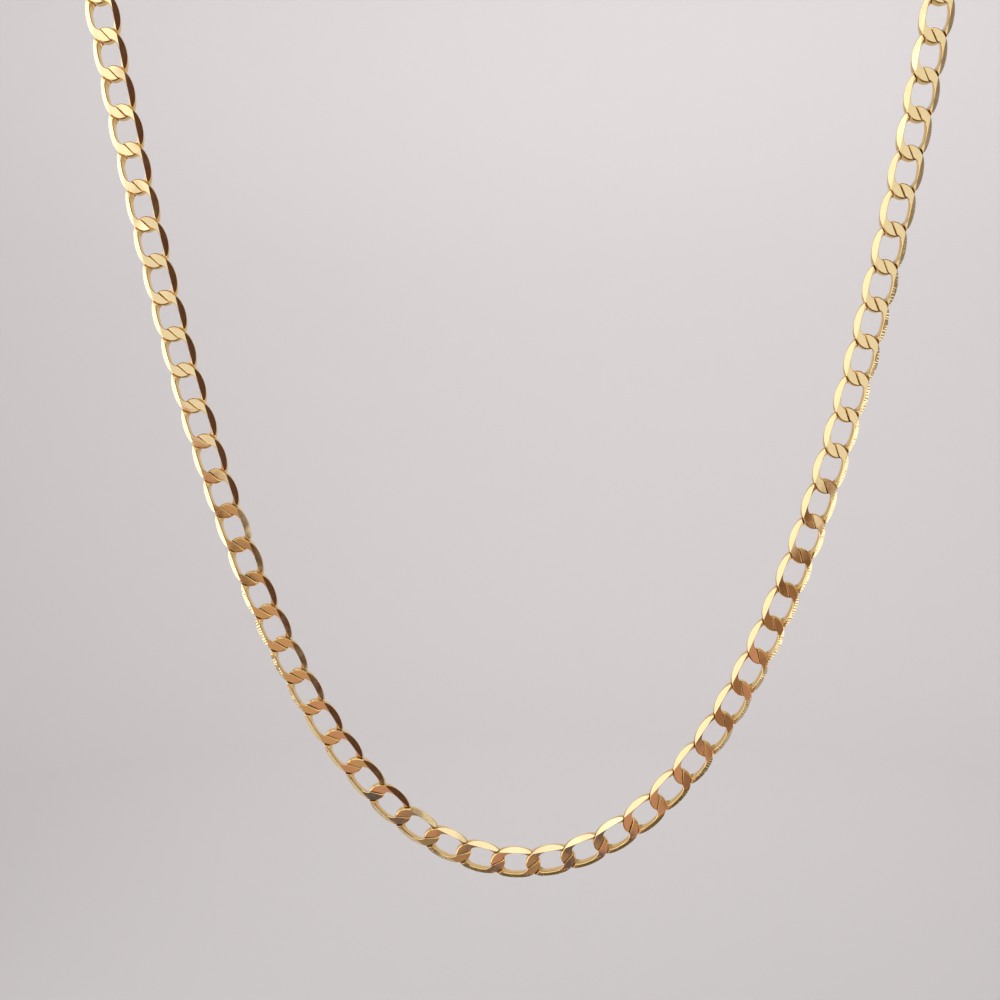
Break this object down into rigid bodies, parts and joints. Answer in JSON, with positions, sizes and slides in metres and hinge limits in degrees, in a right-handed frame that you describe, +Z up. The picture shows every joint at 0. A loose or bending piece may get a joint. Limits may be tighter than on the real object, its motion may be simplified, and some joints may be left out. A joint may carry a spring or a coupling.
{
  "type": "curb chain necklace",
  "caption": "Fine flat curb chain necklace in polished gold, a closed loop of twisted interlocking links hanging from its clasp.",
  "frame": {"origin": "top of the loop, level with the underside of the clasp's neck, where the necklace hangs", "axes": "+X to the right seen from the front, -Y to the front, +Z up; the loop hangs in the X-Z plane"},
  "size_m": [0.1066, 0.0042, 0.1817],
  "materials": {
    "chain_gold": "polished yellow gold surface with flat cut faces",
    "clasp_gold": "polished yellow gold surface, plain"
  },
  "bodies": {
    "root": {"left_chain": "chain_gold", "right_chain": "chain_gold", "clasp": "clasp_gold"}
  },
  "joints": []
}
